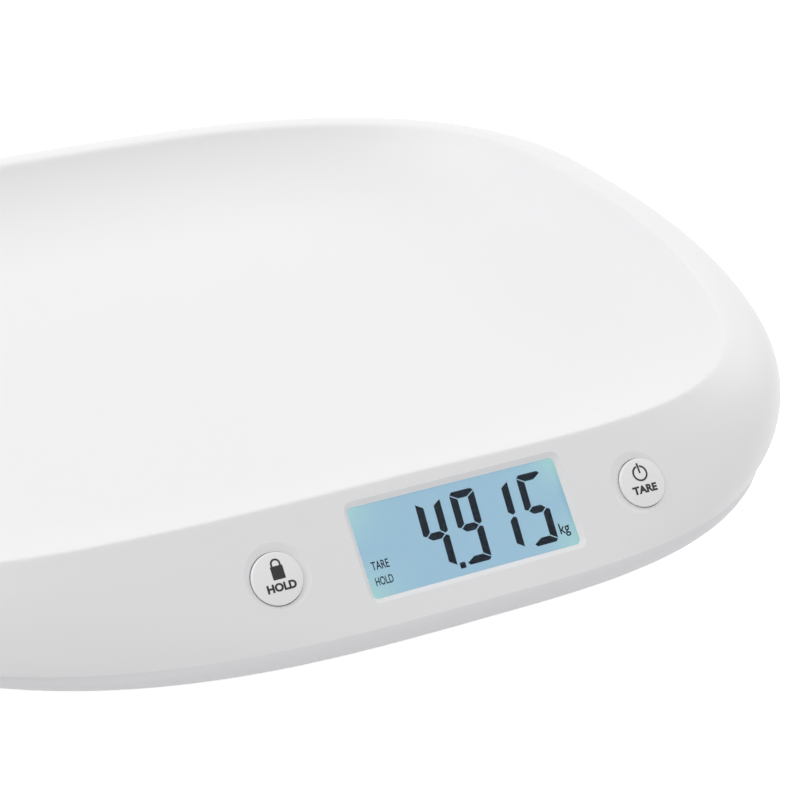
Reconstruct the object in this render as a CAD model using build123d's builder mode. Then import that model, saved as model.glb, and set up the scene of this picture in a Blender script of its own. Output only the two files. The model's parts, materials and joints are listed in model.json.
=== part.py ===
"""Digital baby weighing scale: a shallow dished tray with a sloped control panel.

Millimetres, +Z up. The origin is on the table under the middle of the tray, with X to the
right, Y to the back and the control panel at the front (-Y). The display is a little to the
right of the middle.
"""

import os
from math import copysign, cos, hypot, pi, radians, sin

from build123d import *

os.makedirs("parts", exist_ok=True)

# ---------------------------------------------------------------- driving dimensions

# Tray outline
tray_width = 496.0  # over the widest part of the rim
tray_length = 452.0  # from the chin under the panel to the rear rim
display_x = 33.0  # the display stands this far to the right of the tray's middle
rim_band = 32.0  # the rim rolls outwards this far beyond its crest
widest_behind_middle = 56.0
crest_squareness = (5.0, 3.6)  # exponents of the left and right front corners at the crest
chin_squareness = (2.85, 3.0)  # and at the part line
rear_squareness = 2.6  # exponent of the rear corners
front_flatness = (0.0, 0.0003)  # takes some bow out of the front, left and right, per mm
side_blend = 4  # the side section takes over from the front's this quickly
outline_points = 32

# Tray heights
part_line = 31.0  # joint between tray and base above the table
floor_height = 42.0  # top of the flat tray floor
side_rise = 10.0  # the crest climbs this much at the middle of the sides
rear_rise = 2.0  # and this much from the front to the back
wall = 2.4

# Control panel
panel_slope = 47.5  # degrees from level
panel_height = 52.0  # display centre above the table
panel_to_crest = 25.8  # from the display centre up the slope to the crest

# Cross-sections of the shells, each a curve through two ends and two handles.
# Rim: share of the band outside the crest, share of the drop to the part line
rim_curve = [(0.0, 0.0), (0.85, 0.0), (1.42, 0.30), (0.60, 1.0)]
# Dish: distance inside the crest, share of the fall to the floor
dish_curve = [(0.0, 0.0), (9.0, 0.42), (30.0, 1.0), (73.0, 1.0)]
front_dish_share = 0.9  # the front wall of the dish is this much as wide as the others
# Base sides: distance outside the foot of the rim, depth below the part line
base_depth = 19.0
base_side_curve = [(0.0, 0.0), (-4.5, 6.0), (-27.2, base_depth), (-64.2, base_depth)]
# Base chin: distance forward of the panel's lower edge, depth below the part line
base_chin_curve = [(0.0, 0.0), (5.5, 6.0), (0.0, base_depth), (-64.0, base_depth)]
curve_rows = 7  # outlines along each curve
hollow_rim = 0.06  # the hollow of the tray starts this far along the rim curve
hollow_dish = 0.12  # and this far along the dish curve
skirt = 5.0  # hollows pass the part line by this much

# Display, sizes along the panel and depths behind it
window_width = 87.2
window_height = 34.8
window_corner = 2.0
window_bevel = 2.0
window_recess = 1.8
lens_margin = 1.8
lens_thickness = 1.4
lens_clearance = 0.15
lcd_margin = 1.2
lcd_gap = 0.3
lcd_thickness = 2.8
backlight_inset = 2.8  # the backlight is this much inside the ends of the LCD
strip_inset = 4.8  # and the contact strips this much
strip_width = 1.8
strip_gap = 0.1
frame_wall = 1.0
frame_clearance = 0.2
board_depth = 12.0
board_reach = 12.0  # the board passes the button centres by this much
board_margin = 1.4  # and the LCD's long sides by this much
board_thickness = 1.6
board_post_v = 14.0
board_post_radius = 3.0

# Panel buttons
button_spacing = 154.0
button_drop = 1.0  # button centres below the display centre line
button_diameter = 19.4
button_gap = 0.3
button_proud = 1.0
button_edge_drop = 0.55
button_flange = 1.8
button_flange_depth = 4.7
button_flange_thickness = 1.2
button_stem_radius = 3.0
button_travel = 0.6
dish_width = 2.4
dish_depth = 0.9
switch_size = 6.2
switch_height = 3.5
plunger_radius = 1.75
plunger_height = 1.5
plunger_clearance = 0.1
plunger_seat = 2.2

# Feet and load cells
foot_x = 145.0
foot_y = 126.0
pad_radius = 14.0
pad_height = 3.0
foot_radius = 17.0
foot_gap = 3.0
foot_stem_radius = 6.0
foot_hole_clearance = 2.0
cell_size = 34.0
cell_thickness = 2.6
cell_slot = 2.0
cell_tongue = 15.0
carrier_wall = 6.0
carrier_height = 3.6
pocket_clearance = 0.15
cell_screw_offset = 2.0  # from the edge of the load cell
well_clearance = 1.0
well_height = 12.0
housing_drop = 0.8

# Stiffening frame under the floor
frame_bar = 12.0
frame_height = 5.0
frame_x = 96.0
frame_y = 80.0

# Fasteners
boss_x = 45.0  # half the distance between the bosses at the front and at the back
boss_end_gap = 12.0  # these bosses stand this far outside the stiffening frame
boss_side_gap = 17.0  # and the ones at the sides this far
boss_radius = 4.6
base_boss_radius = 6.2
base_boss_height = 8.0
screw_radius = 1.45
screw_hole_clearance = 0.3
screw_bite_clearance = 0.05
screw_head_radius = 2.8
screw_head_height = 2.2
counterbore_clearance = 0.5
counterbore_depth = 4.2
case_screw_length = 16.0
board_screw_length = 6.0
cell_screw_length = 5.0

# Battery compartment
battery_count = 4
battery_radius = 5.25
battery_length = 44.5
battery_nub = 1.0
battery_nub_radius = 1.9
battery_pitch = 11.2
battery_y = 30.0  # compartment centre behind the middle
battery_lift = 0.3
spring_length = 5.0
spring_radius = 3.8
spring_tip_radius = 2.4
plate_thickness = 0.4
box_wall = 1.6
box_clearance = 0.5
door_thickness = 2.0
door_gap = 0.35
door_pin_radius = 0.7
door_pin_clearance = 0.05
door_pin_length = 1.6
door_grip_length = 16.0
door_grip_width = 4.0

# Electronics on the back of the board
chip_size = 12.0
chip_height = 1.2
buzzer_radius = 6.0
buzzer_height = 5.0
buzzer_x = 24.0
lead_radius = 1.1
lead_lift = 0.05
front_lead_bends = [(105.0, -130.0)]  # X and Y on the right, for the front and rear cells
rear_lead_bends = [(112.0, 92.0), (110.0, 40.0), (108.0, -22.0), (100.0, -84.0)]
front_lead_turn = (55.0, -157.0)  # the last bends, with X from the display's middle
rear_lead_turn = (33.0, -140.0)
battery_lead_spacing = 10.0
battery_lead_bends = [(0.0, 28.0), (24.0, 90.0), (28.0, 141.0)]  # sideways, ahead of the box
front_lead_x = 42.0  # places on the board
rear_lead_x = 30.0
cell_lead_v = -9.0
battery_lead_v = -12.0
lead_drop = 16.0  # leads leave the board straight for this far
front_lead_radii = [20.0, 18.0, 8.0]
rear_lead_radii = [16.0, 40.0, 60.0, 40.0, 24.0, 8.0]
battery_lead_radii = [30.0, 40.0, 24.0, 8.0]

# ---------------------------------------------------------------- tray outline


def unit(value):
    """Keep a share between 0 and 1."""
    return min(1.0, max(0.0, value))


def curve_at(curve, share):
    """Point of a four-point curve at a share of the way along it."""
    rest = 1 - share
    weights = (rest**3, 3 * rest**2 * share, 3 * rest * share**2, share**3)
    return tuple(sum(w * point[i] for w, point in zip(weights, curve)) for i in (0, 1))


def normal_at(curve, share, first_scale, second_scale):
    """Unit normal of a curve whose two directions are scaled to millimetres."""
    step = 0.001
    low, high = curve_at(curve, max(0.0, share - step)), curve_at(curve, min(1.0, share + step))
    along, down = (high[0] - low[0]) * first_scale, (high[1] - low[1]) * second_scale
    length = hypot(along, down)
    return down / length, along / length


front_edge = -tray_length / 2
rear_edge = tray_length / 2
slope_sin = sin(radians(panel_slope))
slope_cos = cos(radians(panel_slope))
stations = [(1 - cos(pi * k / (curve_rows - 1))) / 2 for k in range(curve_rows)]
chin_reach = max(curve_at(base_chin_curve, k / 100)[0] for k in range(101))
part_front = front_edge + chin_reach
panel_y = part_front + (panel_height - part_line) * slope_cos / slope_sin
crest_front = panel_y + panel_to_crest * slope_cos
crest_height = panel_height + panel_to_crest * slope_sin
crest_half = tray_width / 2 - rim_band
crest_rear = rear_edge - rim_band
rim_foot = rim_band * rim_curve[-1][0]
front_drop = crest_height - part_line
rim_drop = front_drop + side_rise
dish_fall = crest_height + side_rise - floor_height
base_height = part_line - base_depth
base_floor = base_height + wall
floor_underside = floor_height - wall
panel_plane = Plane(
    origin=(display_x, panel_y, panel_height), x_dir=(1, 0, 0), z_dir=(0, -slope_sin, slope_cos)
)


def crest_at(share):
    """Height of the rim crest at a share of the way from front to back."""
    share = unit(share)
    return crest_height + side_rise * sin(pi * share) ** 2 + rear_rise * share**2 * (3 - 2 * share)


def sided(values, x):
    """Value for the left or for the right of the display."""
    return values[0] if x < 0 else values[1]


def outline(half, y_front, y_rear, squareness, height):
    """Closed rounded outline as points, half as wide as given on each side of the middle.

    The squareness is that of the left and the right front corner, and height gives Z at a
    share of the way from front to back.
    """
    points = []
    for index in range(outline_points):
        angle = 2 * pi * index / outline_points
        across, along = cos(angle), sin(angle)
        power = 2 / (rear_squareness if along >= 0 else sided(squareness, across))
        depth = y_rear - widest_behind_middle if along >= 0 else widest_behind_middle - y_front
        x = (half - copysign(display_x, across)) * copysign(abs(across) ** power, across)
        reach = abs(along) ** power
        y = widest_behind_middle + depth * copysign(reach, along)
        if along < 0:
            y -= sided(front_flatness, across) * (x * reach) ** 2
        points.append(Vector(display_x + x, y, height((y - y_front) / (y_rear - y_front))))
    return points


def level_copy(points, height):
    """The points of an outline moved to one height."""
    return [Vector(point.X, point.Y, height) for point in points]


def closed_wire(points):
    """Smooth closed wire through the points of an outline."""
    return Wire([Edge.make_spline(points, periodic=True)])


def solid_from(*skins):
    """Solid inside skins that follow one another; each is a list of outlines.

    A skin of two outlines is straight between them and a longer one is smooth. The first
    and the last outline of all are level, and flat faces close them.
    """
    faces = [Face(closed_wire(skins[0][0])), Face(closed_wire(skins[-1][-1]))]
    for rows in skins:
        wires = [closed_wire(points) for points in rows]
        faces += Shell.make_loft(wires, ruled=len(rows) == 2).faces()
    return Solid(Shell(faces))


def front_squareness(share):
    """Exponents of the left and right front corners at a share of the way down the front."""
    ends = zip(crest_squareness, chin_squareness)
    return [crest + (chin - crest) * share for crest, chin in ends]


def fascia_y(x, height):
    """Y of the front face at a distance x right of the display's middle and a height."""
    share = (crest_height - height) / front_drop
    squareness = sided(front_squareness(share), x)
    y_front = crest_front - share * front_drop * slope_cos / slope_sin
    half = crest_half + rim_band * curve_at(rim_curve, share)[0] - copysign(display_x, x)
    reach = (1 - (abs(x) / half) ** squareness) ** (1 / squareness)
    flattening = sided(front_flatness, x) * (x * reach) ** 2
    return widest_behind_middle - (widest_behind_middle - y_front) * reach - flattening


def rim_row(share, inset=0.0):
    """Outline on the outside of the rim, or that far inside its wall."""
    band, side_share = curve_at(rim_curve, share)
    outwards, upwards = normal_at(rim_curve, share, rim_band, rim_drop)
    lower = inset * upwards
    offset = rim_band * band - inset * outwards
    setback = (inset - lower * slope_cos) / slope_sin

    def height(along):
        blend = 1 - (1 - unit(along)) ** side_blend
        fall = share + (side_share - share) * blend
        return crest_at(along) - fall * (crest_at(along) - part_line) - lower

    return outline(
        crest_half + offset,
        crest_front - share * front_drop * slope_cos / slope_sin + setback,
        crest_rear + offset,
        front_squareness(share),
        height,
    )


def dish_row(share, inset=0.0):
    """Outline on the inside of the dish, or that far inside its wall."""
    inside, fall = curve_at(dish_curve, share)
    inwards, upwards = normal_at(dish_curve, share, 1.0, dish_fall)
    offset = inside - inset * inwards
    return outline(
        crest_half - offset,
        crest_front + front_dish_share * inside - inset * inwards,
        crest_rear - offset,
        crest_squareness,
        lambda along: crest_at(along) - fall * (crest_at(along) - floor_height) - inset * upwards,
    )


def base_row(share, inset=0.0):
    """Level outline on the outside of the base, or that far inside its wall."""
    side, down = curve_at(base_side_curve, share)
    chin = curve_at(base_chin_curve, share)[0]
    # The base leans inwards on its way down, so the wall's normal points down and out
    outwards, inwards = normal_at(base_side_curve, share, 1.0, 1.0)
    level = part_line - down - inset * inwards
    offset = rim_foot + side - inset * outwards
    return outline(
        crest_half + offset,
        part_front - chin + inset * outwards,
        crest_rear + offset,
        chin_squareness,
        lambda along: level,
    )


# ---------------------------------------------------------------- places

lens_width = window_width + 2 * lens_margin
lens_height = window_height + 2 * lens_margin
bevel_width = window_width + 2 * window_bevel
bevel_height = window_height + 2 * window_bevel
lcd_width = window_width + 2 * lcd_margin
lcd_height = window_height + 2 * lcd_margin
pocket_width = lcd_width + 2 * frame_clearance
pocket_height = lcd_height + 2 * frame_clearance
button_radius = button_diameter / 2
flange_radius = button_radius + button_flange
button_height = panel_height - button_drop * slope_sin
button_y = panel_y - button_drop * slope_cos
button_places = {}
button_setbacks = {}
for name, x in (("hold", -button_spacing / 2), ("tare", button_spacing / 2)):
    bow = fascia_y(x, button_height) - fascia_y(0, button_height)
    button_setbacks[name] = bow * slope_sin
    on_plane = Vector(display_x + x, button_y, button_height)
    button_places[name] = on_plane - panel_plane.z_dir * button_setbacks[name]
foot_places = {
    "front_left": (-foot_x, -foot_y),
    "front_right": (foot_x, -foot_y),
    "rear_left": (-foot_x, foot_y),
    "rear_right": (foot_x, foot_y),
}
boss_foot = base_height + base_boss_height
boss_y = frame_y + frame_bar / 2 + boss_end_gap
boss_side_x = frame_x + frame_bar / 2 + boss_side_gap
boss_places = [(x, y) for x in (-boss_x, boss_x) for y in (-boss_y, boss_y)]
boss_places += [(-boss_side_x, 0), (boss_side_x, 0)]
# The board's posts stand midway between the LCD frame and the button flanges
board_post_x = (pocket_width / 2 + frame_wall + button_spacing / 2 - flange_radius) / 2
board_posts = [(x, v) for x in (-board_post_x, board_post_x) for v in (-board_post_v, board_post_v)]


def behind(depth):
    """Plane behind the panel face by a depth, facing outwards."""
    return panel_plane.offset(-depth)


def seat_plane(centre):
    """Plane of the panel face at a button."""
    return Plane(origin=centre, x_dir=(1, 0, 0), z_dir=panel_plane.z_dir)


def profile_plane(centre):
    """Plane through a button's axis: X across the panel, Y out of it."""
    return Plane(origin=centre, x_dir=(1, 0, 0), z_dir=(0, -slope_cos, -slope_sin))


def finish(part, name):
    """Label a sub-part and write its file."""
    part.part.label = name
    export_step(part.part, f"parts/{name}.step")


# ---------------------------------------------------------------- tray shell

tray_block = solid_from(
    [rim_row(1 - share) for share in stations],
    [dish_row(share) for share in stations],
)
hollow_start = rim_row(1.0, wall)
hollow_rim_rows = [rim_row(1 - share * (1 - hollow_rim), wall) for share in stations]
hollow_dish_rows = [dish_row(hollow_dish + share * (1 - hollow_dish), wall) for share in stations]
tray_hollow = solid_from(
    [level_copy(hollow_start, part_line - skirt), hollow_start],
    hollow_rim_rows,
    [hollow_rim_rows[-1], hollow_dish_rows[0]],
    hollow_dish_rows,
)

with BuildPart() as tray_shell:
    add(tray_block)
    add(tray_hollow, mode=Mode.SUBTRACT)
    # Display opening: a bevel outside, a straight hole and a rebate for the lens behind it
    with BuildSketch(panel_plane):
        RectangleRounded(bevel_width, bevel_height, window_corner + window_bevel)
    with BuildSketch(behind(window_recess)):
        RectangleRounded(window_width, window_height, window_corner)
    loft(mode=Mode.SUBTRACT)
    with BuildSketch(panel_plane):
        RectangleRounded(bevel_width, bevel_height, window_corner + window_bevel)
    extrude(amount=window_bevel, mode=Mode.SUBTRACT)
    with BuildSketch(behind(window_recess)):
        RectangleRounded(
            lens_width + 2 * lens_clearance, lens_height + 2 * lens_clearance, window_corner
        )
    extrude(amount=-2 * wall, mode=Mode.SUBTRACT)
    # Button holes, each in a shallow dish
    for centre in button_places.values():
        hole_radius = button_radius + button_gap
        with BuildSketch(seat_plane(centre)):
            Circle(hole_radius)
        extrude(amount=3 * wall, both=True, mode=Mode.SUBTRACT)
        with BuildSketch(profile_plane(centre)):
            Polygon(
                (0, -dish_depth),
                (hole_radius, -dish_depth),
                (hole_radius + dish_width, 0),
                (hole_radius + 2 * dish_width, dish_depth),
                (0, dish_depth),
                align=None,
            )
        revolve(axis=Axis(centre, panel_plane.z_dir), mode=Mode.SUBTRACT)
    # Posts that carry the circuit board behind the panel
    with BuildSketch(behind(board_depth)):
        with Locations(*board_posts):
            Circle(board_post_radius)
    extrude(amount=board_depth - wall / 2)
    with BuildSketch(behind(board_depth)):
        with Locations(*board_posts):
            Circle(screw_radius + screw_bite_clearance)
    extrude(amount=board_screw_length, mode=Mode.SUBTRACT)
    # Screw bosses under the floor
    with BuildSketch(Plane.XY.offset(boss_foot)):
        with Locations(*boss_places):
            Circle(boss_radius)
    extrude(amount=floor_underside - boss_foot + wall / 2)
    with BuildSketch(Plane.XY.offset(boss_foot)):
        with Locations(*boss_places):
            Circle(screw_radius + screw_bite_clearance)
    extrude(amount=case_screw_length, mode=Mode.SUBTRACT)
finish(tray_shell, "tray_shell")

# ---------------------------------------------------------------- base cover

spring_room = spring_length + battery_nub + 2 * plate_thickness
box_length = battery_length + spring_room
box_width = battery_count * battery_pitch + box_clearance
door_top = base_height + door_thickness
battery_axis = door_top + battery_lift + battery_radius
box_roof = battery_axis + battery_radius + box_clearance
door_pin_y = battery_y + box_length / 2 - door_gap - door_thickness / 2
door_pin_z = base_height + door_thickness / 2
carrier_size = cell_size + 2 * (carrier_wall + pocket_clearance)
well_size = carrier_size + 2 * well_clearance
foot_top = base_height - foot_gap

base_block = solid_from([base_row(share) for share in stations])
hollow_rows = [base_row(share, wall) for share in stations]
base_hollow = solid_from([level_copy(hollow_rows[0], part_line + skirt), hollow_rows[0]], hollow_rows)

with BuildPart() as base_cover:
    add(base_block)
    # Housings that hold the load cells where the hull curves up, a little proud of the base
    with BuildSketch(Plane.XY.offset(base_height - housing_drop)):
        with Locations(*foot_places.values()):
            RectangleRounded(well_size + 2 * wall, well_size + 2 * wall, carrier_wall + wall)
    extrude(amount=housing_drop + well_height)
    add(base_hollow, mode=Mode.SUBTRACT)
    with BuildSketch(Plane.XY.offset(base_floor)):
        with Locations(*foot_places.values()):
            RectangleRounded(well_size, well_size, carrier_wall)
    extrude(amount=well_height, mode=Mode.SUBTRACT)
    with BuildSketch(Plane.XY.offset(base_height)):
        with Locations(*boss_places):
            Circle(base_boss_radius)
    extrude(amount=base_boss_height)
    # Cuts from below the base: screw holes, foot holes and the battery opening
    with BuildSketch(Plane.XY.offset(foot_top)):
        with Locations(*boss_places):
            Circle(screw_radius + screw_hole_clearance)
        with Locations(*foot_places.values()):
            Circle(foot_stem_radius + foot_hole_clearance)
        with Locations((0, battery_y)):
            Rectangle(box_width, box_length)
    extrude(amount=foot_gap + base_boss_height, mode=Mode.SUBTRACT)
    with BuildSketch(Plane.XY.offset(base_height)):
        with Locations(*boss_places):
            Circle(screw_head_radius + counterbore_clearance)
    extrude(amount=counterbore_depth, mode=Mode.SUBTRACT)
    # Sockets for the battery door's hinge pins
    with BuildSketch(Plane.YZ):
        with Locations((door_pin_y, door_pin_z)):
            Circle(door_pin_radius + door_pin_clearance)
    extrude(amount=box_width / 2 + 2 * door_pin_length, both=True, mode=Mode.SUBTRACT)
finish(base_cover, "base_cover")

# ---------------------------------------------------------------- stiffening frame

with BuildPart() as support_frame:
    with BuildSketch(Plane.XY.offset(floor_underside - frame_height)):
        Rectangle(2 * frame_x + frame_bar, 2 * frame_y + frame_bar)
        Rectangle(2 * frame_x - frame_bar, 2 * frame_y - frame_bar, mode=Mode.SUBTRACT)
        with Locations((-frame_x / 2, 0), (frame_x / 2, 0)):
            Rectangle(frame_bar, 2 * frame_y)
    extrude(amount=frame_height)
finish(support_frame, "support_frame")

# ---------------------------------------------------------------- display stack

lcd_face = window_recess + lens_thickness + lcd_gap
lcd_back = lcd_face + lcd_thickness
strip_offset = (lcd_height - strip_width) / 2 - frame_clearance
backlight_height = 2 * (strip_offset - strip_gap) - strip_width

with BuildPart() as display_window:
    with BuildSketch(behind(window_recess)):
        RectangleRounded(lens_width, lens_height, window_corner - lens_clearance)
    extrude(amount=-lens_thickness)
finish(display_window, "display_window")

with BuildPart() as lcd_panel:
    with BuildSketch(behind(lcd_face)):
        Rectangle(lcd_width, lcd_height)
    extrude(amount=-lcd_thickness)
finish(lcd_panel, "lcd_panel")

with BuildPart() as backlight:
    with BuildSketch(behind(lcd_back)):
        Rectangle(lcd_width - 2 * backlight_inset, backlight_height)
    extrude(amount=lcd_back - board_depth)
finish(backlight, "backlight")

with BuildPart() as contact_strips:
    with BuildSketch(behind(lcd_back)):
        with Locations((0, strip_offset), (0, -strip_offset)):
            Rectangle(lcd_width - 2 * strip_inset, strip_width)
    extrude(amount=lcd_back - board_depth)
finish(contact_strips, "contact_strips")

with BuildPart() as lcd_frame:
    with BuildSketch(behind(lcd_face)):
        Rectangle(pocket_width + 2 * frame_wall, pocket_height + 2 * frame_wall)
        Rectangle(pocket_width, pocket_height, mode=Mode.SUBTRACT)
    extrude(amount=lcd_face - board_depth)
finish(lcd_frame, "lcd_frame")

# ---------------------------------------------------------------- circuit board

board_back = board_depth + board_thickness
board_width = button_spacing + 2 * board_reach
board_height = lcd_height + 2 * board_margin

with BuildPart() as circuit_board:
    with BuildSketch(behind(board_depth)):
        RectangleRounded(board_width, board_height, window_corner)
        with Locations(*board_posts):
            Circle(screw_radius + screw_hole_clearance, mode=Mode.SUBTRACT)
    extrude(amount=-board_thickness)
finish(circuit_board, "circuit_board")

with BuildPart() as controller_chip:
    with BuildSketch(behind(board_back)):
        with Locations((-chip_size, 0)):
            Rectangle(chip_size, chip_size)
    extrude(amount=-chip_height)
    chamfer(faces().sort_by(Axis(panel_plane.origin, panel_plane.z_dir))[0].edges(), chip_height / 4)
finish(controller_chip, "controller_chip")

with BuildPart() as buzzer:
    with BuildSketch(behind(board_back)):
        with Locations((buzzer_x, 0)):
            Circle(buzzer_radius)
    extrude(amount=-buzzer_height)
    with BuildSketch(behind(board_back + buzzer_height)):
        with Locations((buzzer_x, 0)):
            Circle(buzzer_radius / 6)
    extrude(amount=buzzer_height / 4, mode=Mode.SUBTRACT)
finish(buzzer, "buzzer")

# ---------------------------------------------------------------- buttons and switches

flange_back = button_flange_depth + button_flange_thickness
edge_height = button_proud - button_edge_drop

for name, centre in button_places.items():
    seat = seat_plane(centre)
    # Depths below the button's seat
    switch_face = board_depth - switch_height - button_setbacks[name]
    plunger_face = switch_face - plunger_height
    with BuildPart() as button:
        with BuildSketch(profile_plane(centre)):
            with BuildLine():
                crown = ThreePointArc(
                    (0, button_proud),
                    (button_radius / 2, button_proud - button_edge_drop / 5),
                    (button_radius - button_edge_drop, edge_height),
                )
                Polyline(
                    crown @ 1,
                    (button_radius, edge_height - button_edge_drop),
                    (button_radius, -button_flange_depth),
                    (flange_radius, -button_flange_depth),
                    (flange_radius, -flange_back),
                    (button_stem_radius, -flange_back),
                    (button_stem_radius, -plunger_face),
                    (0, -plunger_face),
                    crown @ 0,
                )
            make_face()
        revolve(axis=Axis(centre, panel_plane.z_dir))
    finish(button, f"{name}_button")

    with BuildPart() as switch:
        with BuildSketch(seat.offset(-switch_face)):
            Rectangle(switch_size, switch_size)
        extrude(amount=-switch_height)
        with BuildSketch(seat.offset(-switch_face)):
            Circle(plunger_radius + plunger_clearance)
        extrude(amount=-button_travel - plunger_seat, mode=Mode.SUBTRACT)
    finish(switch, f"{name}_switch")

    with BuildPart() as plunger:
        with BuildSketch(seat.offset(-plunger_face)):
            Circle(plunger_radius)
        extrude(amount=-plunger_height - plunger_seat)
    finish(plunger, f"{name}_plunger")

# ---------------------------------------------------------------- load cells and feet

carrier_top = base_floor + carrier_height
cell_top = carrier_top + cell_thickness
pocket_size = cell_size + 2 * pocket_clearance
cell_rim = (cell_size - cell_tongue) / 2 - cell_slot
cell_screw_x = cell_size / 2 + cell_screw_offset
cell_screw_places = [
    (x + side * cell_screw_x, y) for x, y in foot_places.values() for side in (-1, 1)
]

for corner, (x, y) in foot_places.items():
    with BuildPart() as carrier:
        with BuildSketch(Plane.XY.offset(base_floor)):
            with Locations((x, y)):
                RectangleRounded(carrier_size, carrier_size, carrier_wall - pocket_clearance)
                Rectangle(cell_size - cell_rim, cell_size - cell_rim, mode=Mode.SUBTRACT)
        extrude(amount=carrier_height + cell_thickness)
        with BuildSketch(Plane.XY.offset(carrier_top)):
            with Locations((x, y)):
                Rectangle(pocket_size, pocket_size)
        extrude(amount=cell_thickness, mode=Mode.SUBTRACT)
        with BuildSketch(Plane.XY.offset(cell_top)):
            with Locations((x - cell_screw_x, y), (x + cell_screw_x, y)):
                Circle(screw_radius + screw_bite_clearance)
        extrude(amount=-cell_screw_length, mode=Mode.SUBTRACT)
    finish(carrier, f"cell_carrier_{corner}")

    with BuildPart() as cell:
        with BuildSketch(Plane.XY.offset(carrier_top)):
            with Locations((x, y)):
                Rectangle(cell_size, cell_size)
            for side in (-1, 1):
                with Locations((x + side * (cell_tongue + cell_slot) / 2, y)):
                    Rectangle(cell_slot, cell_size - 2 * cell_rim, mode=Mode.SUBTRACT)
            with Locations((x, y - cell_size / 2 + cell_rim + cell_slot / 2)):
                Rectangle(cell_tongue, cell_slot, mode=Mode.SUBTRACT)
        extrude(amount=cell_thickness)
    finish(cell, f"load_cell_{corner}")

    with BuildPart() as foot:
        with BuildSketch(Plane.XY.offset(pad_height)):
            with Locations((x, y)):
                Circle(foot_radius)
        extrude(amount=foot_top - pad_height)
        rims = edges().filter_by(GeomType.CIRCLE).sort_by(Axis.Z)
        chamfer(rims[0], pad_height / 3)
        fillet(rims[-1], pad_height / 3)
        with BuildSketch(Plane.XY.offset(foot_top)):
            with Locations((x, y)):
                Circle(foot_stem_radius)
        extrude(amount=carrier_top - foot_top)
    finish(foot, f"foot_{corner}")

    with BuildPart() as pad:
        with BuildSketch():
            with Locations((x, y)):
                Circle(pad_radius)
        extrude(amount=pad_height)
        chamfer(edges().filter_by(GeomType.CIRCLE).sort_by(Axis.Z)[0], pad_height / 5)
    finish(pad, f"foot_pad_{corner}")

# ---------------------------------------------------------------- battery compartment

columns = [(k - (battery_count - 1) / 2) * battery_pitch for k in range(battery_count)]
directions = [1 if k % 2 == 0 else -1 for k in range(battery_count)]
front_wall = battery_y - box_length / 2
rear_wall = battery_y + box_length / 2


def battery_plane(x, toward, distance):
    """Plane across a battery's axis, a distance from the wall that its spring stands on."""
    root = front_wall if toward > 0 else rear_wall
    return Plane(
        origin=(x, root + toward * distance, battery_axis), x_dir=(1, 0, 0), z_dir=(0, toward, 0)
    )


with BuildPart() as battery_box:
    with BuildSketch(Plane.XY.offset(base_floor)):
        with Locations((0, battery_y)):
            Rectangle(box_width + 2 * box_wall, box_length + 2 * box_wall)
    extrude(amount=box_roof + box_wall - base_floor)
    with BuildSketch(Plane.XY.offset(base_floor)):
        with Locations((0, battery_y)):
            Rectangle(box_width, box_length)
    extrude(amount=box_roof - base_floor, mode=Mode.SUBTRACT)
finish(battery_box, "battery_box")

door_width = box_width - 2 * door_gap
door_front = front_wall + door_gap
with BuildPart() as battery_door:
    # The rear edge is round about the hinge pins
    with BuildSketch(Plane.YZ.offset(-door_width / 2)):
        with BuildLine():
            Polyline(
                (door_pin_y, door_top),
                (door_front, door_top),
                (door_front, base_height),
                (door_pin_y, base_height),
            )
            ThreePointArc(
                (door_pin_y, base_height),
                (door_pin_y + door_thickness / 2, door_pin_z),
                (door_pin_y, door_top),
            )
        make_face()
    extrude(amount=door_width)
    with BuildSketch(Plane.YZ):
        with Locations((door_pin_y, door_pin_z)):
            Circle(door_pin_radius)
    extrude(amount=box_width / 2 + door_pin_length, both=True)
    with BuildSketch(Plane.XY.offset(base_height)):
        with Locations((0, door_front + 2 * door_grip_width)):
            SlotOverall(door_grip_length, door_grip_width)
    extrude(amount=door_thickness / 2, mode=Mode.SUBTRACT)
finish(battery_door, "battery_door")

for number, (x, toward) in enumerate(zip(columns, directions), start=1):
    with BuildPart() as battery:
        with BuildSketch(battery_plane(x, toward, plate_thickness + spring_length)):
            Circle(battery_radius)
        extrude(amount=battery_length)
        fillet(edges().filter_by(GeomType.CIRCLE), battery_nub / 2)
        with BuildSketch(battery_plane(x, toward, plate_thickness + spring_length + battery_length)):
            Circle(battery_nub_radius)
        extrude(amount=battery_nub)
    finish(battery, f"battery_{number}")

with BuildPart() as battery_springs:
    for x, toward in zip(columns, directions):
        with BuildSketch(battery_plane(x, toward, plate_thickness)):
            Circle(spring_radius)
        with BuildSketch(battery_plane(x, toward, plate_thickness + spring_length)):
            Circle(spring_tip_radius)
        loft()
    for x, toward in zip(columns, directions):
        with BuildSketch(battery_plane(x, toward, 2 * plate_thickness)):
            Circle(spring_radius - 2 * plate_thickness)
        with BuildSketch(battery_plane(x, toward, plate_thickness + spring_length)):
            Circle(spring_tip_radius - 2 * plate_thickness)
        loft(mode=Mode.SUBTRACT)
finish(battery_springs, "battery_springs")

with BuildPart() as battery_plates:
    for wall_plane in (battery_plane(0, 1, 0), battery_plane(0, -1, 0)):
        with BuildSketch(wall_plane):
            with Locations(*[(x, 0) for x in columns]):
                Rectangle(2 * spring_radius, 2 * spring_radius)
        extrude(amount=plate_thickness)
finish(battery_plates, "battery_plates")

# ---------------------------------------------------------------- leads

lead_height = cell_top + lead_radius + lead_lift
lead_start = cell_size / 2 - 2 * lead_radius
lead_side = cell_tongue / 2


def board_end(x, v):
    """Last two points of a route that ends at a place on the back of the board."""
    depth = board_back + lead_lift
    return [behind(depth + out).from_local_coords(Vector(x, v, 0)) for out in (lead_drop, 0)]


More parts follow.
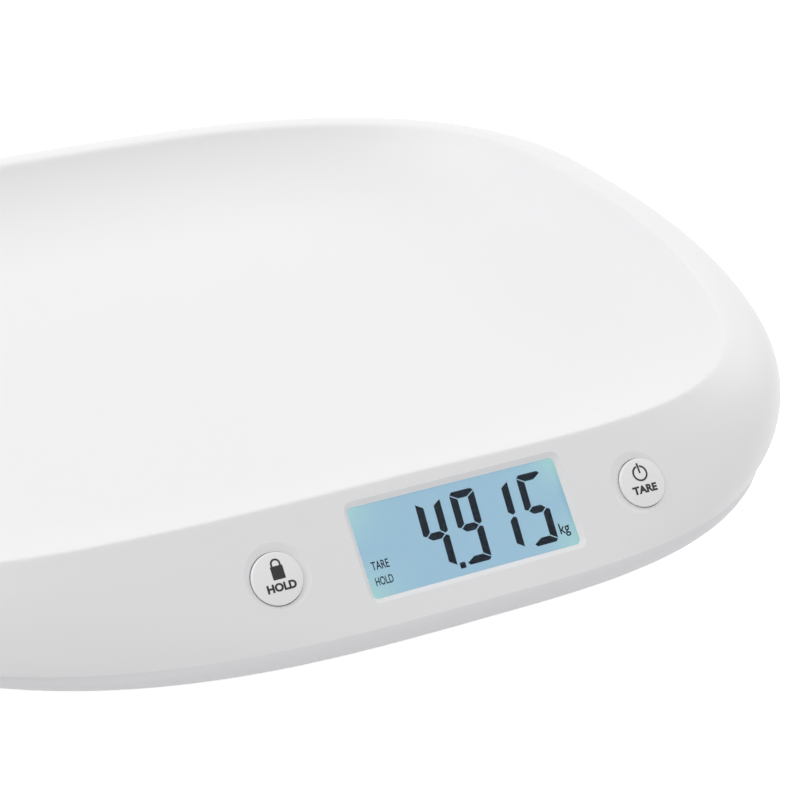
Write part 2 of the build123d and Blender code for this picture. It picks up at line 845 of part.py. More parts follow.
def lead(points, radii):
    """Round lead along straight runs joined by arcs."""
    with BuildPart() as tube:
        with BuildLine() as route:
            FilletPolyline(*points, radius=radii)
        with BuildSketch(Plane(origin=route.line @ 0, z_dir=route.line % 0)):
            Circle(lead_radius)
        sweep()
    return tube.part


with BuildPart() as cell_leads:
    for side in (-1, 1):
        front_places = [(foot_x - lead_start, lead_side - foot_y)] + front_lead_bends
        front_route = [(side * x, y, lead_height) for x, y in front_places]
        front_route.append((display_x + side * front_lead_turn[0], front_lead_turn[1], lead_height))
        front_route += board_end(side * front_lead_x, cell_lead_v)
        add(lead(front_route, front_lead_radii))
        rear_places = [(foot_x - lead_start, foot_y - lead_side)] + rear_lead_bends
        rear_route = [(side * x, y, lead_height) for x, y in rear_places]
        rear_route.append((display_x + side * rear_lead_turn[0], rear_lead_turn[1], lead_height))
        rear_route += board_end(side * rear_lead_x, cell_lead_v)
        add(lead(rear_route, rear_lead_radii))
finish(cell_leads, "cell_leads")

battery_lead_height = box_roof - 2 * lead_radius
with BuildPart() as battery_leads:
    for start_x in (-battery_lead_spacing / 2, battery_lead_spacing / 2):
        route = [(start_x, front_wall - box_wall - lead_lift, battery_lead_height)]
        for sideways, ahead in battery_lead_bends:
            route.append((start_x + sideways, front_wall - ahead, battery_lead_height))
        route += board_end(route[-1][0] - display_x, battery_lead_v)
        add(lead(route, battery_lead_radii))
finish(battery_leads, "battery_leads")

# ---------------------------------------------------------------- screws


def screws(plane, places, length):
    """Pan-head screws that stand on the plane with their shanks below it."""
    with BuildPart() as group:
        with BuildSketch(plane):
            with Locations(*places):
                Circle(screw_head_radius)
        extrude(amount=screw_head_height)
        with BuildSketch(plane):
            with Locations(*places):
                Circle(screw_radius)
        extrude(amount=-length)
    return group


case_plane = Plane(
    origin=(0, 0, base_height + counterbore_depth), x_dir=(1, 0, 0), z_dir=(0, 0, -1)
)
finish(screws(case_plane, [(x, -y) for x, y in boss_places], case_screw_length), "case_screws")

board_plane = Plane(origin=behind(board_back).origin, x_dir=(1, 0, 0), z_dir=-panel_plane.z_dir)
finish(screws(board_plane, [(x, -v) for x, v in board_posts], board_screw_length), "board_screws")

finish(screws(Plane.XY.offset(cell_top), cell_screw_places, cell_screw_length), "cell_screws")
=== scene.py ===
"""Finishes, display, key legends and studio for a baby weighing scale.

Lengths are in metres in the scale's own frame. Panel places are given across the panel (x),
up its slope (v) and out of its face (n).
"""

import json
import logging
import math
from dataclasses import dataclass, field
from enum import Enum

import bmesh
import bpy
from mathutils import Matrix, Vector, kdtree


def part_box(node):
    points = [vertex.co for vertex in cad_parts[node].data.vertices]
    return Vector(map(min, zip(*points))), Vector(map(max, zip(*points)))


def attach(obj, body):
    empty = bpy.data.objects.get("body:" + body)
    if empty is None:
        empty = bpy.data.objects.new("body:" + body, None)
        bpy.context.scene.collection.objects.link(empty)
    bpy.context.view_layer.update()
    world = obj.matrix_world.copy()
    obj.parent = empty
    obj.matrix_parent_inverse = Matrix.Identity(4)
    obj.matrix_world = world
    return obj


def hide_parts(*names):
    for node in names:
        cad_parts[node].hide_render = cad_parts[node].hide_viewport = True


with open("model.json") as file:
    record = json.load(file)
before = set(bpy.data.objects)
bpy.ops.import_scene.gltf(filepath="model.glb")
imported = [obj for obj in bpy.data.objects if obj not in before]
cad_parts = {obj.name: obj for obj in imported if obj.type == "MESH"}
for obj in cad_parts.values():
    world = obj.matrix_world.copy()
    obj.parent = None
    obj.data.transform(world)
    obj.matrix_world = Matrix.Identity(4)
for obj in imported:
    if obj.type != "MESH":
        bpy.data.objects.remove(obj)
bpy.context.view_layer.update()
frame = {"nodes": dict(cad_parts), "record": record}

LOG = logging.getLogger("baby_scale")
MM = 0.001
KEY_OFFSET = 77.0 * MM  # each key's centre from the middle of the display
FILM_LIFT = 0.02 * MM  # what the display shows floats this far off the glass
PRINT_LIFT = 0.01 * MM  # and the prints this far off the keys


# ---------------------------------------------------------------- names and places


class Body(Enum):
    """Rigid bodies that pieces ride on."""

    SCALE = "scale"
    HOLD_KEY = "hold_key"
    TARE_KEY = "tare_key"


@dataclass(frozen=True)
class Panel:
    """The sloped control panel, found from the display window.

    Attributes:
        slope: angle of the face from level, in radians.
        recess: depth of the window's front face behind the panel face.
        lens: thickness of the window.
    """

    slope: float = math.radians(47.5)
    recess: float = 1.8 * MM
    lens: float = 1.4 * MM

    @property
    def normal(self) -> Vector:
        """Direction out of the panel."""
        return Vector((0.0, -math.sin(self.slope), math.cos(self.slope)))

    @property
    def up(self) -> Vector:
        """Direction up the panel's slope."""
        return Vector((0.0, math.cos(self.slope), math.sin(self.slope)))

    @property
    def centre(self) -> Vector:
        """Middle of the display on the panel face."""
        low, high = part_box("display_window")
        return (low + high) / 2 + self.normal * (self.recess + self.lens / 2)

    def height_of(self, node: bpy.types.Object) -> float:
        """Give how far a node stands out of the panel face.

        Args:
            node: the CAD object.

        Returns:
            Metres from the face to the node's outermost point.
        """
        places = (node.matrix_world @ vert.co for vert in node.data.vertices)
        return max((place - self.centre).dot(self.normal) for place in places)

    def matrix(self, x: float = 0.0, v: float = 0.0, n: float = 0.0) -> Matrix:
        """Transform from a flat piece's own plane to a place on the panel.

        Args:
            x: metres across the panel.
            v: metres up the slope.
            n: metres out of the face.

        Returns:
            The matrix that carries X across, Y up the slope and Z out of the panel.
        """
        across = Vector((1.0, 0.0, 0.0))
        origin = self.centre + across * x + self.up * v + self.normal * n
        turn = Matrix((across, self.up, self.normal)).transposed()
        return Matrix.Translation(origin) @ turn.to_4x4()


PANEL = Panel()


# ---------------------------------------------------------------- shader helpers


def new_material(name: str) -> tuple[bpy.types.Material, bpy.types.Node]:
    """Make a node material.

    Args:
        name: the material's name.

    Returns:
        The material and its Principled BSDF node.
    """
    material = bpy.data.materials.new(name)
    material.use_nodes = True
    return material, material.node_tree.nodes["Principled BSDF"]


def object_coordinates(material: bpy.types.Material) -> bpy.types.NodeSocket:
    """Add a coordinate node and give its Object socket."""
    return material.node_tree.nodes.new("ShaderNodeTexCoord").outputs["Object"]


def background_rays(nodes: bpy.types.Nodes, links: bpy.types.NodeLinks) -> bpy.types.NodeSocket:
    """Mark the rays that show the background: to the camera, in gloss and through glass.

    Args:
        nodes: the node tree's nodes.
        links: the node tree's links.

    Returns:
        A socket that is 1 for those rays and 0 for the rays that light the object.
    """
    path = nodes.new("ShaderNodeLightPath")
    seen = path.outputs["Is Camera Ray"]
    for kind in ("Is Glossy Ray", "Is Transmission Ray"):
        either = nodes.new("ShaderNodeMath")
        either.operation = "MAXIMUM"
        links.new(seen, either.inputs[0])
        links.new(path.outputs[kind], either.inputs[1])
        seen = either.outputs[0]
    return seen


def moulded_grain_group() -> bpy.types.NodeTree:
    """Build the group that puts fine moulding grain and a faint tone change on a surface.

    Returns:
        The node group. It takes Vector, Grain Scale, Tone Scale, Tone, Roughness and Colour,
        and gives Colour, Roughness and Height.
    """
    roughness_spread = 0.08
    group = bpy.data.node_groups.new("moulded_grain", "ShaderNodeTree")
    face = group.interface
    face.new_socket("Vector", in_out="INPUT", socket_type="NodeSocketVector")
    defaults = {"Grain Scale": 900.0, "Tone Scale": 6.0, "Tone": 0.02, "Roughness": 0.4}
    for name, value in defaults.items():
        socket = face.new_socket(name, in_out="INPUT", socket_type="NodeSocketFloat")
        socket.default_value = value
    face.new_socket("Colour", in_out="INPUT", socket_type="NodeSocketColor")
    face.new_socket("Colour", in_out="OUTPUT", socket_type="NodeSocketColor")
    face.new_socket("Roughness", in_out="OUTPUT", socket_type="NodeSocketFloat")
    face.new_socket("Height", in_out="OUTPUT", socket_type="NodeSocketFloat")
    nodes, links = group.nodes, group.links
    inputs, outputs = nodes.new("NodeGroupInput"), nodes.new("NodeGroupOutput")
    grain, tone = nodes.new("ShaderNodeTexNoise"), nodes.new("ShaderNodeTexNoise")
    for node, scale, detail in ((grain, "Grain Scale", 3.0), (tone, "Tone Scale", 2.0)):
        node.inputs["Detail"].default_value = detail
        links.new(inputs.outputs["Vector"], node.inputs["Vector"])
        links.new(inputs.outputs[scale], node.inputs["Scale"])
    shade = nodes.new("ShaderNodeMath")
    shade.operation = "MULTIPLY_ADD"
    links.new(tone.outputs["Fac"], shade.inputs[0])
    links.new(inputs.outputs["Tone"], shade.inputs[1])
    shade.inputs[2].default_value = 1.0
    scaled = nodes.new("ShaderNodeVectorMath")
    scaled.operation = "SCALE"
    links.new(inputs.outputs["Colour"], scaled.inputs[0])
    links.new(shade.outputs[0], scaled.inputs["Scale"])
    links.new(scaled.outputs[0], outputs.inputs["Colour"])
    rough = nodes.new("ShaderNodeMath")
    rough.operation = "MULTIPLY_ADD"
    links.new(grain.outputs["Fac"], rough.inputs[0])
    rough.inputs[1].default_value = roughness_spread
    links.new(inputs.outputs["Roughness"], rough.inputs[2])
    links.new(rough.outputs[0], outputs.inputs["Roughness"])
    links.new(grain.outputs["Fac"], outputs.inputs["Height"])
    return group


GRAIN = moulded_grain_group()


# ---------------------------------------------------------------- finishes


@dataclass(frozen=True)
class Finish:
    """A surface with moulded grain.

    Attributes:
        name: the material's name.
        colour: linear base colour.
        roughness: base roughness.
        metallic: 1 for bare metal.
        coat: weight of a clear glossy skin.
        coat_roughness: roughness of that skin.
        specular: level of the plain reflection, 0.5 for common plastic.
        grain: grain spacing in metres.
        depth: grain depth in metres.
        tone: how much the colour varies over the surface.
    """

    name: str
    colour: tuple[float, float, float]
    roughness: float = 0.4
    metallic: float = 0.0
    coat: float = 0.0
    coat_roughness: float = 0.12
    specular: float = 0.5
    grain: float = 1.2 * MM
    depth: float = 0.004 * MM
    tone: float = 0.02

    def build(self) -> bpy.types.Material:
        """Make the material.

        Returns:
            The new material.
        """
        material, shader = new_material(self.name)
        nodes, links = material.node_tree.nodes, material.node_tree.links
        group = nodes.new("ShaderNodeGroup")
        group.node_tree = GRAIN
        links.new(object_coordinates(material), group.inputs["Vector"])
        group.inputs["Colour"].default_value = (*self.colour, 1.0)
        group.inputs["Grain Scale"].default_value = 1.0 / self.grain
        group.inputs["Tone"].default_value = self.tone
        group.inputs["Roughness"].default_value = self.roughness
        bump = nodes.new("ShaderNodeBump")
        bump.inputs["Strength"].default_value = 1.0
        bump.inputs["Distance"].default_value = self.depth
        links.new(group.outputs["Height"], bump.inputs["Height"])
        links.new(group.outputs["Colour"], shader.inputs["Base Color"])
        links.new(group.outputs["Roughness"], shader.inputs["Roughness"])
        links.new(bump.outputs["Normal"], shader.inputs["Normal"])
        shader.inputs["Metallic"].default_value = self.metallic
        shader.inputs["Specular IOR Level"].default_value = self.specular
        shader.inputs["Coat Weight"].default_value = self.coat
        shader.inputs["Coat Roughness"].default_value = self.coat_roughness
        return material


@dataclass(frozen=True)
class ClearWindow:
    """Clear acrylic over the display.

    Attributes:
        name: the material's name.
        roughness: its roughness.
        ior: its index of refraction, low so that the display shows without a shift.
    """

    name: str = "clear_window"
    roughness: float = 0.03
    ior: float = 1.18

    def build(self) -> bpy.types.Material:
        """Make the material.

        Returns:
            The new material.
        """
        material, shader = new_material(self.name)
        shader.inputs["Base Color"].default_value = (1.0, 1.0, 1.0, 1.0)
        shader.inputs["Roughness"].default_value = self.roughness
        shader.inputs["IOR"].default_value = self.ior
        shader.inputs["Transmission Weight"].default_value = 1.0
        return material


@dataclass(frozen=True)
class BacklitGlass:
    """Backlit display: blue in the middle and greener towards its lamps at the corners.

    Attributes:
        name: the material's name.
        middle: linear colour of the glow in the middle.
        corner: linear colour of the glow in the corners.
        half_width: half the lit width.
        half_height: half the lit height.
        strength: strength of the glow.
        end_power: how steeply the corner colour rises towards the ends.
        side_power: how steeply it rises up and down.
        unlit: linear colour of the glass without its light.
        roughness: the glass's roughness.
    """

    name: str = "backlit_glass"
    middle: tuple[float, float, float] = (0.295, 0.50, 0.65)
    corner: tuple[float, float, float] = (0.37, 0.66, 0.63)
    half_width: float = 43.6 * MM
    half_height: float = 17.4 * MM
    strength: float = 0.9
    end_power: float = 5.0
    side_power: float = 1.2
    unlit: tuple[float, float, float] = (0.02, 0.03, 0.04)
    roughness: float = 0.25

    def build(self) -> bpy.types.Material:
        """Make the material.

        Returns:
            The new material.
        """
        material, shader = new_material(self.name)
        nodes, links = material.node_tree.nodes, material.node_tree.links
        mapping = nodes.new("ShaderNodeMapping")
        mapping.vector_type = "TEXTURE"
        mapping.inputs["Location"].default_value = PANEL.centre
        mapping.inputs["Rotation"].default_value = (PANEL.slope, 0.0, 0.0)
        mapping.inputs["Scale"].default_value = (self.half_width, self.half_height, 1.0)
        links.new(object_coordinates(material), mapping.inputs["Vector"])
        parts = nodes.new("ShaderNodeSeparateXYZ")
        links.new(mapping.outputs[0], parts.inputs[0])
        # Corner weight: the product of both shares, each raised to its own power
        powers = []
        for axis, exponent in (("X", self.end_power), ("Y", self.side_power)):
            size = nodes.new("ShaderNodeMath")
            size.operation = "ABSOLUTE"
            links.new(parts.outputs[axis], size.inputs[0])
            power = nodes.new("ShaderNodeMath")
            power.operation = "POWER"
            links.new(size.outputs[0], power.inputs[0])
            power.inputs[1].default_value = exponent
            powers.append(power)
        weight = nodes.new("ShaderNodeMath")
        weight.operation = "MULTIPLY"
        weight.use_clamp = True
        for index, power in enumerate(powers):
            links.new(power.outputs[0], weight.inputs[index])
        mix = nodes.new("ShaderNodeMix")
        mix.data_type = "RGBA"
        mix.inputs["A"].default_value = (*self.middle, 1.0)
        mix.inputs["B"].default_value = (*self.corner, 1.0)
        links.new(weight.outputs[0], mix.inputs["Factor"])
        links.new(mix.outputs["Result"], shader.inputs["Emission Color"])
        shader.inputs["Base Color"].default_value = (*self.unlit, 1.0)
        shader.inputs["Roughness"].default_value = self.roughness
        shader.inputs["Emission Strength"].default_value = self.strength
        return material


class Finishes:
    """All the finishes, each made once."""

    def __init__(self) -> None:
        """Make every material."""
        self.tray = Finish(
            "tray_plastic", (0.845, 0.845, 0.855), roughness=0.42, coat=0.04, grain=1.4 * MM
        ).build()
        self.base = Finish(
            "base_plastic", (0.78, 0.78, 0.80), roughness=0.42, grain=0.9 * MM
        ).build()
        self.key = Finish("key_plastic", (0.87, 0.87, 0.88), roughness=0.28, coat=0.25).build()
        self.dark = Finish("dark_plastic", (0.03, 0.03, 0.032), roughness=0.5).build()
        self.pale = Finish("pale_plastic", (0.60, 0.61, 0.62), roughness=0.45).build()
        self.rubber = Finish(
            "pad_rubber", (0.025, 0.025, 0.026), roughness=0.75, grain=0.5 * MM, depth=0.02 * MM
        ).build()
        self.steel = Finish(
            "plated_steel", (0.62, 0.63, 0.64), roughness=0.28, metallic=1.0
        ).build()
        self.cell = Finish("cell_steel", (0.50, 0.50, 0.51), roughness=0.36, metallic=1.0).build()
        self.board = Finish("board_lacquer", (0.012, 0.11, 0.045), roughness=0.3, coat=0.4).build()
        self.sleeve = Finish("battery_sleeve", (0.02, 0.03, 0.05), roughness=0.3, coat=0.3).build()
        self.red = Finish("red_lead", (0.42, 0.01, 0.01), roughness=0.45).build()
        self.grey = Finish("grey_lead", (0.30, 0.31, 0.33), roughness=0.5).build()
        self.ink = Finish(
            "legend_ink", (0.012, 0.012, 0.014), roughness=0.35, depth=0.001 * MM
        ).build()
        self.segment = Finish(
            "segment_ink", (0.006, 0.014, 0.026), roughness=0.5, specular=0.1, tone=0.0
        ).build()
        self.window = ClearWindow().build()
        self.display = BacklitGlass().build()

    def by_slot(self) -> dict[str, bpy.types.Material]:
        """Match each material slot of the record to a finish.

        Returns:
            The finish of each slot.
        """
        return {
            "tray_plastic": self.tray,
            "base_plastic": self.base,
            "button_plastic": self.key,
            "inner_plastic": self.dark,
            "window_clear": self.window,
            "lcd_glass": self.display,
            "light_guide": self.pale,
            "contact_rubber": self.rubber,
            "board_green": self.board,
            "steel": self.steel,
            "cell_steel": self.cell,
            "battery_wrap": self.sleeve,
            "lead_red": self.red,
            "lead_grey": self.grey,
            "pad_rubber": self.rubber,
        }


# ---------------------------------------------------------------- mesh helpers


def finish_piece(
    name: str, mesh: bmesh.types.BMesh, material: bpy.types.Material, body: Body
) -> bpy.types.Object:
    """Turn a finished bmesh into a piece that rides on a body.

    Args:
        name: the piece's name.
        mesh: the shape, in place; it is freed.
        material: its finish.
        body: the body it moves with.

    Returns:
        The new object.
    """
    bmesh.ops.recalc_face_normals(mesh, faces=mesh.faces)
    data = bpy.data.meshes.new(name)
    mesh.to_mesh(data)
    mesh.free()
    data.materials.append(material)
    piece = bpy.data.objects.new(name, data)
    bpy.context.scene.collection.objects.link(piece)
    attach(piece, body.value)
    LOG.info("%s rides on %s", name, body.value)
    return piece


def plate(mesh: bmesh.types.BMesh, points: list[tuple[float, float]], thickness: float) -> None:
    """Add a flat plate with a given outline, from Z = 0 up to its thickness.

    Args:
        mesh: the bmesh to add to.
        points: the outline's corners.
        thickness: the plate's thickness.
    """
    corners = [mesh.verts.new((x, y, 0.0)) for x, y in points]
    made = bmesh.ops.contextual_create(mesh, geom=corners)
    grown = bmesh.ops.extrude_face_region(mesh, geom=made["faces"])
    raised = [item for item in grown["geom"] if isinstance(item, bmesh.types.BMVert)]
    bmesh.ops.translate(mesh, verts=raised, vec=(0.0, 0.0, thickness))


def word_mesh(
    word: str, width: float, height: float, boldness: float, thickness: float
) -> bmesh.types.BMesh:
    """Make a word as a thin solid, its lower left corner at the origin.

    Args:
        word: the letters.
        width: the word's width.
        height: the height of its first letter.
        boldness: how far the strokes grow, as a share of the letter size.
        thickness: the solid's thickness.

    Returns:
        A bmesh of the word.
    """
    merge = 1e-5  # as a share of the letter size
    curve = bpy.data.curves.new(word, "FONT")
    curve.body = word
    curve.offset = boldness
    curve.extrude = 0.5  # a solid one unit thick, scaled below
    curve.resolution_u = 4
    holder = bpy.data.objects.new(word, curve)
    bpy.context.scene.collection.objects.link(holder)
    bpy.context.view_layer.update()
    data = bpy.data.meshes.new_from_object(holder)
    mesh = bmesh.new()
    mesh.from_mesh(data)
    bpy.data.objects.remove(holder)
    bpy.data.meshes.remove(data)
    bpy.data.curves.remove(curve)
    bmesh.ops.remove_doubles(mesh, verts=mesh.verts, dist=merge)
    low = [min(v.co[i] for v in mesh.verts) for i in range(3)]
    high = [max(v.co[i] for v in mesh.verts) for i in range(3)]
    bmesh.ops.translate(mesh, verts=mesh.verts, vec=(-low[0], 0.0, -low[2]))
    scale = (width / (high[0] - low[0]), height / high[1], thickness)
    bmesh.ops.scale(mesh, verts=mesh.verts, vec=scale)
    return mesh


# ---------------------------------------------------------------- CAD nodes


class CadDresser:
    """Gives each CAD node its finish."""

    def __init__(self, finishes: Finishes) -> None:
        """Keep the finishes."""
        self.finishes = finishes

    def dress(self) -> None:
        """Put a finish on every node by its material slot."""
        table = self.finishes.by_slot()
        slots = {part["node"]: part["material_slot"] for part in frame["record"]["subparts"]}
        for name, node in frame["nodes"].items():
            material = table[slots[name]]
            node.data.materials.clear()
            node.data.materials.append(material)


@dataclass
class SoftTray:
    """The tray shell with the edge along its crest rounded over.

    Attributes:
        finishes: all the finishes.
        node: the tray's CAD node.
        merge: points of the mesh nearer than this are one.
        reach: how far the rounding goes down each side of the crest.
        lowest: the crest stays above this height.
        crease: smallest bend that counts as an edge, in radians.
        level: both faces at the crest look up at least this much.
        facing: the rounding moves points whose normal keeps this share of its direction.
        margin: the mesh is made finer this near to the crest.
        finest: length of the mesh's edges at the crest.
        grading: growth of the edges away from the crest, per unit of distance.
        rounds: the edges near the crest are halved at most this many times.
    """

    finishes: Finishes
    node: str = "tray_shell"
    merge: float = 0.001 * MM
    reach: float = 2.0 * MM
    lowest: float = 69.5 * MM
    crease: float = math.radians(12.0)
    level: float = 0.2
    facing: float = 0.3
    margin: float = 12.0 * MM
    finest: float = 0.9 * MM
    grading: float = 0.6
    rounds: int = 8

    def crest_edges(self, mesh: bmesh.types.BMesh) -> list[bmesh.types.BMEdge]:
        """Find the outer edges along the crest.

        Args:
            mesh: the merged tray.

        Returns:
            The convex edges high on the tray between two faces that look up.
        """
        return [
            edge
            for edge in mesh.edges
            if min(vert.co.z for vert in edge.verts) > self.lowest
            and edge.calc_face_angle_signed() > self.crease
            and min(face.normal.z for face in edge.link_faces) > self.level
        ]

    def crest_points(
        self, crest: list[bmesh.types.BMEdge]
    ) -> tuple[list[tuple[Vector, Vector, float]], kdtree.KDTree]:
        """Sample the crest.

        Args:
            crest: its edges.

        Returns:
            Each point's place, outward direction and the tangent of half its bend, and a tree
            that finds the nearest point.
        """
        points = []
        for edge in crest:
            start, end = (vert.co for vert in edge.verts)
            outwards = sum((face.normal for face in edge.link_faces), Vector()).normalized()
            bend = math.tan(edge.calc_face_angle() / 2)
            steps = max(1, round(edge.calc_length() / (self.finest / 2)))
            for step in range(steps + 1):
                points.append((start.lerp(end, step / steps), outwards, bend))
        tree = kdtree.KDTree(len(points))
        for index, point in enumerate(points):
            tree.insert(point[0], index)
        tree.balance()
        return points, tree

    def refine(self, mesh: bmesh.types.BMesh, tree: kdtree.KDTree) -> None:
        """Halve the long edges near the crest until the mesh is fine enough there.

        Args:
            mesh: the merged tray, changed in place.
            tree: the crest's points.
        """
        for _ in range(self.rounds):
            long_edges = []
            for edge in mesh.edges:
                length = edge.calc_length()
                if length < self.finest or max(face.normal.z for face in edge.link_faces) < 0.0:
                    continue
                start, end = (vert.co for vert in edge.verts)
                shares = (0.0, 0.5, 1.0)
                distance = min(tree.find(start.lerp(end, share))[2] for share in shares)
                if distance < self.margin and length > self.finest + self.grading * distance:
                    long_edges.append(edge)
            if not long_edges:
                return
            bmesh.ops.subdivide_edges(mesh, edges=long_edges, cuts=1, use_single_edge=True)
            bmesh.ops.triangulate(mesh, faces=[face for face in mesh.faces if len(face.verts) > 3])
            mesh.normal_update()

    def round_over(self, mesh: bmesh.types.BMesh) -> None:
        """Pull the surface near the crest inwards, onto a curve that joins both sides smoothly.

        Args:
            mesh: the merged tray, changed in place.
        """
        for edge in mesh.edges:
            edge.smooth = edge.calc_face_angle() < self.crease
        crest = self.crest_edges(mesh)
        for edge in crest:
            edge.smooth = True
        points, tree = self.crest_points(crest)
        self.refine(mesh, tree)
        for vert in mesh.verts:
            _, index, distance = tree.find(vert.co)
            _, outwards, bend = points[index]
            if distance < self.reach and vert.normal.dot(outwards) > self.facing:
                vert.co -= outwards * self.reach / 2 * bend * (1 - distance / self.reach) ** 2

    def build(self) -> None:
        """Build the rounded tray and let it replace its CAD node."""
        mesh = bmesh.new()
        mesh.from_mesh(frame["nodes"][self.node].data)
        bmesh.ops.remove_doubles(mesh, verts=mesh.verts, dist=self.merge)
        mesh.normal_update()
        for face in mesh.faces:
            face.smooth = True
        self.round_over(mesh)
        piece = finish_piece("soft_tray", mesh, self.finishes.tray, Body.SCALE)
        LOG.info("soft_tray has %d triangles", len(piece.data.polygons))
        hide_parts(self.node)


# ---------------------------------------------------------------- display


class Segment(Enum):
    """The seven strokes of a digit."""

    TOP = "a"
    UPPER_RIGHT = "b"
    LOWER_RIGHT = "c"
    BOTTOM = "d"
    LOWER_LEFT = "e"
    UPPER_LEFT = "f"
    MIDDLE = "g"


DIGIT_STROKES = {"4": "bcfg", "9": "abcdfg", "1": "bc", "5": "acdfg"}


@dataclass(frozen=True)
class Word:
    """A printed or displayed word.

    Attributes:
        text: the letters.
        left: the word's left edge.
        low: the word's baseline.
        width: the word's width.
        height: the height of its first letter.
    """

    text: str
    left: float
    low: float
    width: float
    height: float


@dataclass
class Display:
    """The liquid crystal display: digits, decimal point, unit and status words.

    Attributes:
        finishes: all the finishes.
        depth: the display glass's face behind the panel face.
        digit_width: width of a digit.
        digit_height: height of a digit.
        stroke: width of an upright stroke.
        bar: width of a level stroke.
        gap: half the gap between strokes.
        waist: height of the middle bar over the baseline.
        slant: how far a digit leans, per unit of height.
        first_digit: left edge of the first digit.
        pitch: from one digit to the next.
        baseline: bottom of the digits up the slope.
        film: thickness of what the display shows.
        reading: the digits shown.
        point_size: side of the decimal point.
        point_place: the decimal point's middle, across the panel and up the slope.
        corner_cut: how far a corner of a digit is cut off, as a share of the stroke.
        tip: how far a stroke's point lies in from its outer edge, as a share of the stroke.
        boldness: how far the words' strokes grow, as a share of the letter size.
        words: the status words and the unit, placed across the panel and up the slope.
    """

    finishes: Finishes
    depth: float = 3.5 * MM
    digit_width: float = 10.27 * MM
    digit_height: float = 28.1 * MM
    stroke: float = 3.15 * MM
    bar: float = 2.85 * MM
    waist: float = 13.7 * MM
    gap: float = 0.16 * MM
    slant: float = 0.046
    first_digit: float = -17.06 * MM
    pitch: float = 14.4 * MM
    baseline: float = -14.1 * MM
    film: float = 0.06 * MM
    reading: str = "4915"
    point_size: float = 2.3 * MM
    point_place: tuple[float, float] = (-5.3 * MM, -13.5 * MM)
    corner_cut: float = 0.3
    tip: float = 0.4
    boldness: float = 0.012
    words: tuple[Word, ...] = (
        Word("TARE", -40.3 * MM, -6.85 * MM, 7.0 * MM, 3.2 * MM),
        Word("HOLD", -40.5 * MM, -12.65 * MM, 7.1 * MM, 3.1 * MM),
        Word("kg", 37.45 * MM, -11.9 * MM, 4.3 * MM, 4.1 * MM),
    )

    def outline(self, segment: Segment) -> list[tuple[float, float]]:
        """Give a stroke's corners in its digit's own plane.

        Args:
            segment: which stroke.

        Returns:
            The corners, with the digit's lower left corner at the origin.
        """
        w, h, t, b, g = self.digit_width, self.digit_height, self.stroke, self.bar, self.gap
        cut = self.corner_cut * t
        if segment is Segment.MIDDLE:
            m, tip = self.waist, self.tip * t + 2 * g
            return [
                (tip, m), (t + g, m + b / 2), (w - t - g, m + b / 2),
                (w - tip, m), (w - t - g, m - b / 2), (t + g, m - b / 2),
            ]
        flip = segment in (Segment.BOTTOM, Segment.LOWER_LEFT, Segment.LOWER_RIGHT)
        m = h - self.waist if flip else self.waist
        if segment in (Segment.TOP, Segment.BOTTOM):
            points = [
                (g, h - cut), (g + cut, h), (w - g - cut, h),
                (w - g, h - cut), (w - t - g, h - b), (t + g, h - b),
            ]
        else:
            points = [
                (0.0, h - cut - 2 * g), (t - g, h - b - 2 * g), (t - g, m + b / 2 + 2 * g),
                (self.tip * t, m + 2 * g), (0.0, m + cut),
            ]
        if flip:
            points = [(x, h - y) for x, y in points]
        if segment in (Segment.UPPER_RIGHT, Segment.LOWER_RIGHT):
            points = [(w - x, y) for x, y in points]
        return points

    def digit(self, figure: str, place: int) -> bpy.types.Object:
        """Build one digit.

        Args:
            figure: the figure shown.
            place: its place from the left.

        Returns:
            The digit's piece.
        """
        mesh = bmesh.new()
        for segment in Segment:
            if segment.value in DIGIT_STROKES[figure]:
                middle = self.digit_height / 2
                lean = [(x + self.slant * (y - middle), y) for x, y in self.outline(segment)]
                plate(mesh, lean, self.film)
        left = self.first_digit + place * self.pitch
        matrix = PANEL.matrix(left, self.baseline, FILM_LIFT - self.depth)
        bmesh.ops.transform(mesh, verts=mesh.verts, matrix=matrix)
        name = f"digit_{place}_{figure}"
        return finish_piece(name, mesh, self.finishes.segment, Body.SCALE)

    def decimal_point(self) -> bpy.types.Object:
        """Build the decimal point after the first digit.

        Returns:
            The point's piece.
        """
        mesh = bmesh.new()
        bmesh.ops.create_cube(mesh, size=1.0)
        bmesh.ops.scale(mesh, verts=mesh.verts, vec=(self.point_size, self.point_size, self.film))
        upright = [
            edge
            for edge in mesh.edges
            if abs(edge.verts[0].co.z - edge.verts[1].co.z) > self.film / 2
        ]
        bmesh.ops.bevel(
            mesh, geom=upright, offset=self.point_size / 8,
            affect="EDGES", segments=2, profile=0.5, material=-1,
        )
        matrix = PANEL.matrix(*self.point_place, FILM_LIFT + self.film / 2 - self.depth)
        bmesh.ops.transform(mesh, verts=mesh.verts, matrix=matrix)
        return finish_piece(
            "decimal_point", mesh, self.finishes.segment, Body.SCALE
        )

    def word(self, word: Word) -> bpy.types.Object:
        """Build a small word on the display.

        Args:
            word: the word.

        Returns:
            The word's piece.
        """
        mesh = word_mesh(word.text, word.width, word.height, self.boldness, self.film)
        matrix = PANEL.matrix(word.left, word.low, FILM_LIFT - self.depth)
        bmesh.ops.transform(mesh, verts=mesh.verts, matrix=matrix)
        name = f"display_{word.text.lower()}"
        return finish_piece(name, mesh, self.finishes.segment, Body.SCALE)

    def build(self) -> None:
        """Build everything the display shows."""
        for place, figure in enumerate(self.reading):
            self.digit(figure, place)
        self.decimal_point()
        for word in self.words:
            self.word(word)


# ---------------------------------------------------------------- keys


